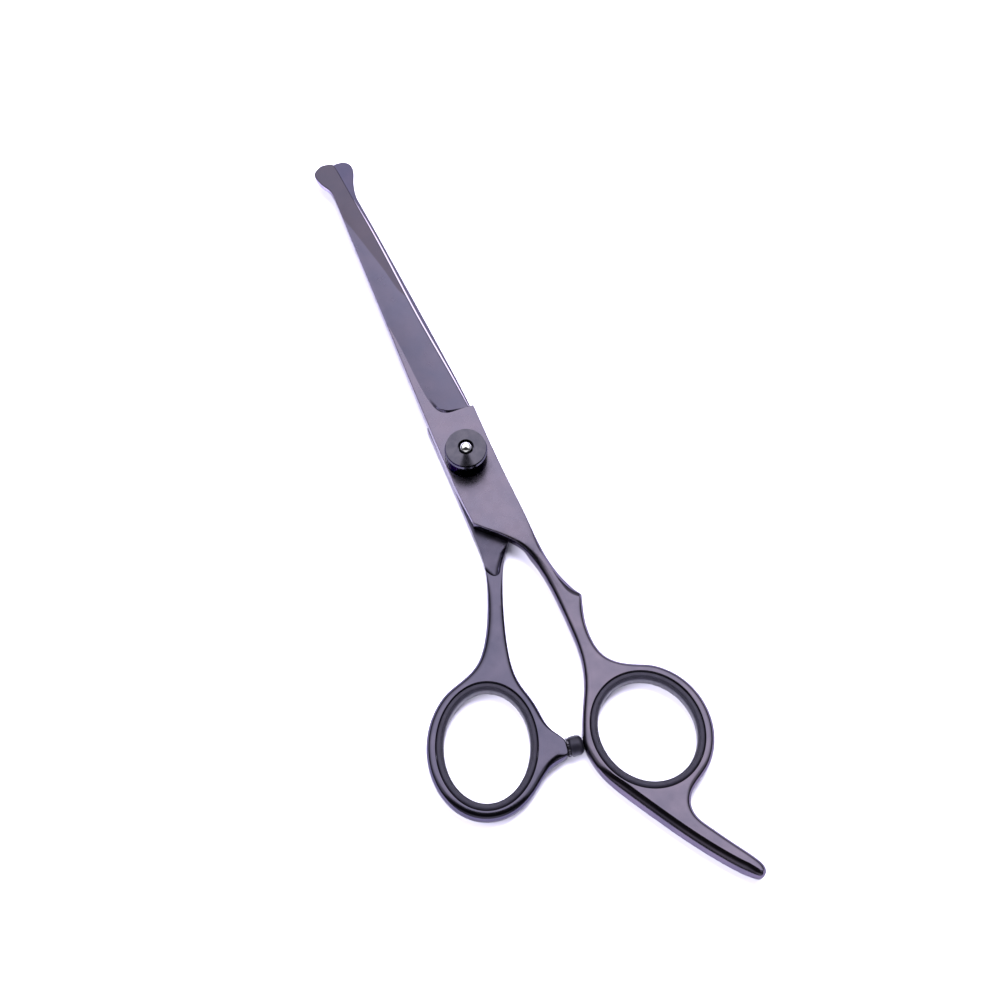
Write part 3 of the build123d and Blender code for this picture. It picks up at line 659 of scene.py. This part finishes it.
def thumb_width(spots, upper, outer):
    """Width of the thumb half's edge rounding."""
    x, y = spots.T
    if not outer:
        return np.full(len(y), HOLE_BREAK)
    w = thumb_round(spots, upper, RIDE_BREAK_WIDTH)
    if upper:
        right = shank_side(spots)
        w = w + (0.16 + 0.74 * smoothstep(-y, 28, 36) - w) * right
        left = (x < -6) & (y < -28) & (y > -60)
        w = np.where(left, w + 0.8 * smoothstep(-y, 28, 34) * (1 - smoothstep(-y, 48, 60)), w)
        w = np.where((y > HEEL_Y) & (x > 1.2), BLADE_BREAK, w)
    else:
        w = np.where(y > HEEL_Y, np.interp(x, (0, 2), (0.05, 0.22)), w)
    return w + (LUG_BREAK - w) * lug_side(spots)


def thumb_drop(spots, upper, outer):
    """Depth of the thumb half's edge rounding."""
    x, y = spots.T
    if not outer:
        return np.full(len(y), HOLE_BREAK)
    h = thumb_round(spots, upper, RIDE_BREAK_DROP)
    if upper:
        right = shank_side(spots)
        h = h + (0.16 + 0.84 * smoothstep(-y, 28, 36) - h) * right
        h = np.where((y > HEEL_Y) & (x > 1.2), 0.25, h)
    else:
        h = np.where(y > HEEL_Y, np.interp(x, (0, 2), (0.02, 0.22)), h)
    return h + (LUG_BREAK - h) * lug_side(spots)


def thumb_crest(spots, upper, outer):
    """Every rounding of the thumb half meets its face smoothly."""
    return np.full(len(spots), 90.0)


HONED_OUTER = ((6.35, 14.2), (5.66, 25.1), (4.24, 40.6), (2.22, 70.4), (1.15, 79.6))
HONED_WIDE = 0.8                            # width of the bright ride line beside the finger blade's edge: bare steel from honing, its brightness partly a painted highlight
honed_outer = cubic(HONED_OUTER, 1.0)
honed_inner = honed_outer - np.array((HONED_WIDE, 0.0))


def thumb_zone(middles, facing):
    """Finish of each face: a bright ride line, bare steel from honing and partly a painted highlight; the
    same bright steel as a painted highlight on the left side walls; painted shade in a darker steel beside
    the finger blade's edge and on the lobe; brushed scoop, ground underside, polished handle.
    """
    x, y, z = middles.T
    up, down = facing > 0.5, facing < -0.5
    slot = np.where(down & (y > SATIN_FROM), SATIN, COATED)
    slot = np.where(up & (y < 14) & (y > -31) & (z < RIDE_Z + 0.6), BRUSHED, slot)
    edge_x = along(FINGER_EDGE, y)
    # Painted shade: the darker steel on the ride face beside the finger blade's edge and on the lobe.
    slot = np.where(up & (y > 14) & (x > edge_x - 2), PAINTED_SHADE, slot)
    # The ride line beside the finger blade's edge: bright steel, bare from honing and partly a painted
    # highlight.
    line = up & (np.abs(side_of(middles[:, :2], honed_outer) - side_of(middles[:, :2], honed_inner)) > 1)
    slot = np.where(line & (y > 14.3) & (y < 79.5), HONED_AND_HIGHLIGHT, slot)
    # Left side walls take the bright steel: a painted highlight.
    slot = np.where((np.abs(facing) < 0.4) & (y > -17) & (x < -2.9), HONED_AND_HIGHLIGHT, slot)
    ground = down & (y > 12.5) & (side_of(middles[:, :2], thumb_heel_line) < 0) & (y < THUMB_FOOT + 0.5)
    back_x = np.interp(y, thumb_back[:, 1], thumb_back[:, 0])
    return np.where(ground | (down & (y > THUMB_FOOT) & (x < back_x)), GROUND, slot)


turn_once = np.linspace(0, 2 * math.pi, 65)
circle = np.stack([np.cos(turn_once), np.sin(turn_once)], 1)
thumb_low_creases = [thumb_heel_line, thumb_tip_line, HEAD_POCKET * circle, HEAD_FLOOR * circle]
thumb_forging = Forging(
    thumb_outline, oval(THUMB_RING, 0.0, step=4)[:-1], thumb_width, thumb_drop, thumb_crest,
    thumb_top, thumb_low, ([scoop_line, scoop_rim], thumb_low_creases), thumb_zone,
    ([honed_outer, honed_inner, scoop_foot], []), fine=[((-7.4, -31.5), (2.6, -21.8), 0.28)],
)
thumb_piece = finish_mesh("thumb_forging", thumb_forging.mesh())
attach(thumb_piece, "thumb_half")
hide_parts("thumb_blade")


# ---- ring liners: one profile swept round each oval -----------------------------------
LIP_TOP, LIP_LOW = (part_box("finger_ring_insert")[k].z / MM for k in (1, 0))
HALF_PROFILE = (                            # growth of the ring hole's oval, height from the lip
    (-0.04, -1.1), (-0.06, -0.5), (-0.14, -0.2), (-0.3, -0.04), (-0.55, 0.0), (-0.95, 0.0),
    (-1.13, -0.05), (-1.24, -0.2), (-1.27, -0.4), (-1.36, -0.47), (-1.5, -0.45), (-1.66, -0.62),
    (-1.78, -1.1), (-1.83, -1.7),
)
LINER_TURNS = 144                           # points round each liner
LINER_CREASE = 40.0


def liner_mesh(name, ring, body):
    """Rubber liner: a lip at each end, a small groove inside it and a swelling sleeve."""
    mesh = bmesh.new()
    upper = [(u, LIP_TOP + z) for u, z in HALF_PROFILE]
    lower = [(u, LIP_LOW - z) for u, z in HALF_PROFILE[::-1]]
    rows = []
    for u, z in upper + lower:
        plan = oval(ring, u, step=360 / LINER_TURNS)[:-1]
        rows.append([mesh.verts.new((x, y, z)) for x, y in plan])
    for row, following in zip(rows, rows[1:] + rows[:1]):
        for i in range(LINER_TURNS):
            j = (i + 1) % LINER_TURNS
            mesh.faces.new((row[i], row[j], following[j], following[i]))
    bmesh.ops.recalc_face_normals(mesh, faces=mesh.faces)
    piece = finish_mesh(name, mesh, LINER_CREASE)
    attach(piece, body)
    return piece


finger_liner = liner_mesh("finger_liner", FINGER_RING, "finger_half")
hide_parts("finger_ring_insert")
thumb_liner = liner_mesh("thumb_liner", THUMB_RING, "thumb_half")
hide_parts("thumb_ring_insert")


# ---- materials ------------------------------------------------------------------------
RANGE_SOCKETS = ("From Min", "From Max", "To Min", "To Max")


class Look:
    """A procedural material built from a few nodes; sizes are given in millimetres."""

    def __init__(self, name, color, metallic, roughness, **sockets):
        self.made = bpy.data.materials.new(name)
        self.made.use_nodes = True
        self.tree = self.made.node_tree
        self.shader = self.tree.nodes["Principled BSDF"]
        self.shader.inputs["Base Color"].default_value = (*color, 1)
        self.shader.inputs["Metallic"].default_value = metallic
        self.shader.inputs["Roughness"].default_value = roughness
        for socket, value in sockets.items():
            self.shader.inputs[socket.replace("_", " ")].default_value = value
        self.roughness = roughness
        self.place = self.node("ShaderNodeTexCoord").outputs["Object"]
        self.bumps = None

    def node(self, kind):
        return self.tree.nodes.new(kind)

    def link(self, out, into):
        self.tree.links.new(out, into)

    def noise(self, cell, detail=3.0, stretch=(1, 1, 1), turn=0.0):
        """Noise with cells about that many millimetres across, stretched and turned in plan."""
        mapping = self.node("ShaderNodeMapping")
        mapping.inputs["Scale"].default_value = [1 / (MM * cell * k) for k in stretch]
        mapping.inputs["Rotation"].default_value = (0, 0, math.radians(turn))
        self.link(self.place, mapping.inputs["Vector"])
        made = self.node("ShaderNodeTexNoise")
        made.inputs["Scale"].default_value = 1.0
        made.inputs["Detail"].default_value = detail
        self.link(mapping.outputs["Vector"], made.inputs["Vector"])
        return made.outputs["Fac"]

    def spread(self, value, low, high, out_low, out_high):
        """The value, moved from one range to another."""
        made = self.node("ShaderNodeMapRange")
        for socket, number in zip(RANGE_SOCKETS, (low, high, out_low, out_high)):
            made.inputs[socket].default_value = number
        self.link(value, made.inputs["Value"])
        return made.outputs["Result"]

    def tint(self, value, low_color, high_color, low=0.35, high=0.65):
        """Base colour that runs between two colours with a value."""
        made = self.node("ShaderNodeValToRGB")
        made.color_ramp.elements[0].position, made.color_ramp.elements[1].position = low, high
        made.color_ramp.elements[0].color = (*low_color, 1)
        made.color_ramp.elements[1].color = (*high_color, 1)
        self.link(value, made.inputs["Fac"])
        self.link(made.outputs["Color"], self.shader.inputs["Base Color"])

    def vary_roughness(self, value, amount):
        """Roughness that drifts by an amount either way with a value."""
        self.link(self.spread(value, 0.3, 0.7, self.roughness - amount, self.roughness + amount),
                  self.shader.inputs["Roughness"])

    def bump(self, value, height):
        """Adds a bump of that height in millimetres."""
        made = self.node("ShaderNodeBump")
        made.inputs["Strength"].default_value = 1.0
        made.inputs["Distance"].default_value = height * MM
        self.link(value, made.inputs["Height"])
        if self.bumps:
            self.link(self.bumps, made.inputs["Normal"])
        self.bumps = made.outputs["Normal"]
        self.link(self.bumps, self.shader.inputs["Normal"])


def scaled(color, factor):
    """A colour made brighter or darker."""
    return tuple(c * factor for c in color)


STEEL = (0.105, 0.0945, 0.134)              # the coating's violet grey
COOL_STEEL = (0.094, 0.089, 0.136)          # the same, a little bluer
METAL_EDGE = (0.52, 0.51, 0.53, 1)          # how much of the light comes back at grazing angles


def steel(name, tone, roughness, grain, depth, turn=0.0, blotch=0.1, warm=(1.05, 1.0, 0.97), hue=STEEL):
    """Vapour-coated steel: drifting hue, fine grain along the blade, faint cloudy gloss."""
    look = Look(name, scaled(STEEL, tone), 1.0, roughness, Specular_Tint=METAL_EDGE)
    cloud = look.noise(6.0, 4.0)
    base = scaled(hue, tone)
    look.tint(cloud, scaled(base, 1 - blotch), tuple(c * w * (1 + blotch) for c, w in zip(base, warm)))
    look.vary_roughness(look.noise(2.2, 5.0), roughness * 0.16)
    look.bump(look.noise(grain, 2.0, (1, 30, 1), turn), depth)
    return look.made


coated = steel("coated_steel", 0.9, 0.15, 0.12, 0.00012)
cool = steel("coated_cool", 0.69, 0.15, 0.12, 0.00012, hue=COOL_STEEL)
satin = steel("coated_satin", 1.02, 0.27, 0.07, 0.0005, blotch=0.035)
ground_steel = steel("ground_steel", 0.87, 0.24, 0.06, 0.0005, turn=62.0, blotch=0.03, hue=COOL_STEEL)
# Bright steel: bare from honing on the ride line, and a painted highlight on the side walls.
honed_and_highlight = steel("honed_steel_and_painted_highlight", 4.0, 0.12, 0.05, 0.0003, blotch=0.03)
brushed = steel("brushed_steel", 0.6, 0.3, 0.2, 0.012, turn=14.0, blotch=0.16, hue=COOL_STEEL)
# Darker steels that paint shade on facets turned from the light and beside the finger blade's edge.
painted_shade_steel = steel("painted_shade_steel", 0.5, 0.2, 0.06, 0.0004, blotch=0.04)
painted_shade_cool = steel("painted_shade_cool", 0.56, 0.2, 0.06, 0.0004, blotch=0.04, hue=(0.094, 0.088, 0.15))
for piece, main, painted_shade_look in ((finger_piece, coated, painted_shade_steel), (thumb_piece, cool, painted_shade_cool)):
    for made in (main, satin, ground_steel, honed_and_highlight, brushed, painted_shade_look):
        piece.data.materials.append(made)


def rubber(name, shade, roughness):
    """Black rubber with a violet tinge and a fine grain."""
    look = Look(name, (shade, shade, shade * 1.5), 0.0, roughness, Specular_IOR_Level=0.34)
    look.shader.inputs["Specular Tint"].default_value = (0.78, 0.74, 1.0, 1)
    darker, lighter = scaled((1, 0.9, 1.5), shade * 0.85), scaled((1, 0.92, 1.55), shade * 1.15)
    look.tint(look.noise(1.4, 4.0), darker, lighter)
    look.vary_roughness(look.noise(0.9, 3.0), 0.06)
    look.bump(look.noise(0.12, 3.0), 0.004)
    return look.made


liner = rubber("liner_rubber", 0.0036, 0.42)
finger_liner.data.materials.append(liner)
thumb_liner.data.materials.append(liner)
bumper = rubber("bumper_rubber", 0.0022, 0.36)
knob_look = Look("knob_steel", (0.06, 0.056, 0.073), 1.0, 0.12, Specular_Tint=(0.3, 0.29, 0.31, 1))
knob_look.tint(knob_look.noise(1.5, 3.0), (0.05, 0.048, 0.065), (0.064, 0.06, 0.078))
knob_look.vary_roughness(knob_look.noise(0.8, 4.0), 0.025)
knob_look.bump(knob_look.noise(0.1, 2.0), 0.0004)
chrome_look = Look("dome_chrome", (0.93, 0.93, 0.95), 1.0, 0.045)
chrome_look.vary_roughness(chrome_look.noise(0.5, 2.0), 0.02)
bolt_look = Look("bolt_steel", (0.07, 0.066, 0.085), 1.0, 0.3)
bolt_look.tint(bolt_look.noise(1.0, 3.0), (0.055, 0.052, 0.07), (0.085, 0.08, 0.1))
bolt_look.bump(bolt_look.noise(0.1, 2.0), 0.0008)
spring_look = Look("spring_steel", (0.50, 0.50, 0.52), 1.0, 0.3)
spring_look.tint(spring_look.noise(0.8, 3.0), (0.44, 0.44, 0.46), (0.55, 0.55, 0.57))
brass_look = Look("bush_brass", (0.66, 0.48, 0.22), 1.0, 0.3)
brass_look.tint(brass_look.noise(0.8, 3.0), (0.58, 0.42, 0.19), (0.72, 0.53, 0.26))
plastic_look = Look("washer_plastic", (0.78, 0.77, 0.72), 0.0, 0.42)
plastic_look.tint(plastic_look.noise(0.8, 3.0), (0.74, 0.73, 0.68), (0.82, 0.81, 0.76))
BY_SLOT = {
    "coated_steel": coated, "knob_steel": knob_look.made, "bolt_steel": bolt_look.made,
    "dome_chrome": chrome_look.made, "spring_steel": spring_look.made, "bush_brass": brass_look.made,
    "washer_plastic": plastic_look.made, "liner_rubber": liner, "bumper_rubber": bumper,
}
for part in frame["record"]["subparts"]:
    made = frame["nodes"][part["node"]]
    for slot in made.material_slots:
        slot.material = BY_SLOT[part["material_slot"]]

# ---- stage: pale floor, studio light, camera ----------------------------------------------
CAMERA_TILT = 22.0                          # degrees from straight down
SENSOR, LENS = 36.0, 72.0
VIEW_WIDTH = 240.9639                       # millimetres across the picture at LOOK_Z
TURN = 22.595                               # the shears lie turned by this much in the picture
PIVOT_PLAN = (-8.1316, 9.3655)              # the pivot, from the picture's middle
LOOK_Z = 3.8


def to_row(x, y, z):
    """From the picture's plan (X right, Y away, millimetres) to the row's frame, in metres."""
    x, y = x - PIVOT_PLAN[0], y - PIVOT_PLAN[1]
    c, s = math.cos(math.radians(TURN)), math.sin(math.radians(TURN))
    return Vector((x * c + y * s, -x * s + y * c, z)) * MM


camera = bpy.data.objects.new("camera", bpy.data.cameras.new("camera"))
bpy.context.scene.collection.objects.link(camera)
reach = VIEW_WIDTH * LENS / SENSOR
tilt = math.radians(CAMERA_TILT)
camera.location = to_row(0, -math.sin(tilt) * reach, LOOK_Z + math.cos(tilt) * reach)
target = to_row(0, 0, LOOK_Z)
back = (camera.location - target).normalized()
right = to_row(1, 0, LOOK_Z) - target
right.normalize()
up = back.cross(right)
facing = Matrix((right, up, back)).transposed().to_4x4()
camera.matrix_world = Matrix.Translation(camera.location) @ facing
camera.data.sensor_width = SENSOR
camera.data.lens = LENS
camera.data.clip_start = 0.01
bpy.context.scene.camera = camera

FLOOR_HALF = 3.0                            # metres: the scale below makes up for finish_mesh's
FLOOR_DROP = 0.2                            # gap under the shears
floor_mesh = bmesh.new()
bmesh.ops.create_grid(floor_mesh, x_segments=1, y_segments=1, size=FLOOR_HALF)
floor = finish_mesh("floor", floor_mesh)
floor.scale = (1 / MM, 1 / MM, 1 / MM)
floor.location = (0, 0, -FLOOR_DROP * MM)
floor_look = Look("floor_paper", (0.31, 0.3, 0.385), 0.0, 0.85)
floor_look.tint(floor_look.noise(40.0, 2.0), (0.307, 0.297, 0.381), (0.313, 0.303, 0.389))
floor.data.materials.append(floor_look.made)

# ---- light: a white tent with a large overhead box, dark where the photographer stands ------
world = bpy.data.worlds.new("studio")
bpy.context.scene.world = world
world.use_nodes = True
tree = world.node_tree
direction = tree.nodes.new("ShaderNodeTexCoord").outputs["Generated"]


def calc(operation, *values):
    """A math node of the sky on numbers or other nodes' outputs."""
    made = tree.nodes.new("ShaderNodeMath")
    made.operation = operation
    for socket, value in zip(made.inputs, values):
        if isinstance(value, (int, float)):
            socket.default_value = value
        else:
            tree.links.new(value, socket)
    return made.outputs[0]


def ramp(value, start, end, low=0.0, high=1.0):
    """The value, moved smoothly from one range to another."""
    made = tree.nodes.new("ShaderNodeMapRange")
    made.interpolation_type = "SMOOTHSTEP"
    for socket, number in zip(RANGE_SOCKETS, (start, end, low, high)):
        made.inputs[socket].default_value = number
    tree.links.new(value, made.inputs["Value"])
    return made.outputs[0]


def part_along(axis):
    """How much of the view direction points along an axis."""
    made = tree.nodes.new("ShaderNodeVectorMath")
    made.operation = "DOT_PRODUCT"
    tree.links.new(direction, made.inputs[0])
    made.inputs[1].default_value = axis
    return made.outputs["Value"]


away = to_row(0, 1, LOOK_Z) - to_row(0, 0, LOOK_Z)
away.normalize()
up_part = calc("MAXIMUM", part_along((0, 0, 1)), 0.02)
fore = calc("MULTIPLY", calc("ARCTAN2", part_along(away), up_part), 180 / math.pi)
side = calc("MULTIPLY", calc("ARCTAN2", part_along(right), up_part), 180 / math.pi)
wide = calc("ABSOLUTE", side)
TENT, BOX = 0.75, 2.3                       # strength of the tent and of the overhead box
WEDGE_TIP, WEDGE_SLOPE = 10.6, 0.725        # the dark front, a wedge that points up to this angle
WEDGE_LIGHT = 0.05
box = calc("MULTIPLY", ramp(fore, -10.0, 8.0), ramp(fore, 48.0, 88.0, 1.0, 0.0))
box = calc("MULTIPLY", box, ramp(wide, 18.0, 80.0, 1.0, 0.05))
lit = calc("ADD", calc("MULTIPLY", box, BOX), TENT)
shade = calc("SUBTRACT", WEDGE_TIP, calc("ADD", fore, calc("MULTIPLY", wide, WEDGE_SLOPE)))
shade = calc("MULTIPLY", ramp(shade, -1.5, 2.0), ramp(fore, -68.0, -46.0))
lit = calc("MULTIPLY", lit, ramp(shade, 0.0, 1.0, 1.0, WEDGE_LIGHT))
lit = calc("MULTIPLY", lit, ramp(wide, 50.0, 74.0, 1.0, 0.16))
sky = tree.nodes["Background"]
sky.inputs[0].default_value = (0.985, 0.975, 1.0, 1)
tree.links.new(lit, sky.inputs[1])
bpy.context.scene.view_settings.view_transform = "Standard"


def floor_lamp(name, place, size, power):
    """Soft lamp for the floor and the rubber; the metal shows the tent alone."""
    lamp = bpy.data.objects.new(name, bpy.data.lights.new(name, "AREA"))
    bpy.context.scene.collection.objects.link(lamp)
    lamp.data.shape = "DISK"
    lamp.data.size = size
    lamp.data.energy = power
    lamp.location = to_row(*place)
    lamp.rotation_euler = (to_row(0, 0, 0) - lamp.location).to_track_quat("-Z", "Y").to_euler()
    lamp.visible_glossy = False


floor_lamp("key", (130, 230, 950), 0.5, 52.0)
floor_lamp("fill", (-430, -380, 760), 0.9, 36.0)
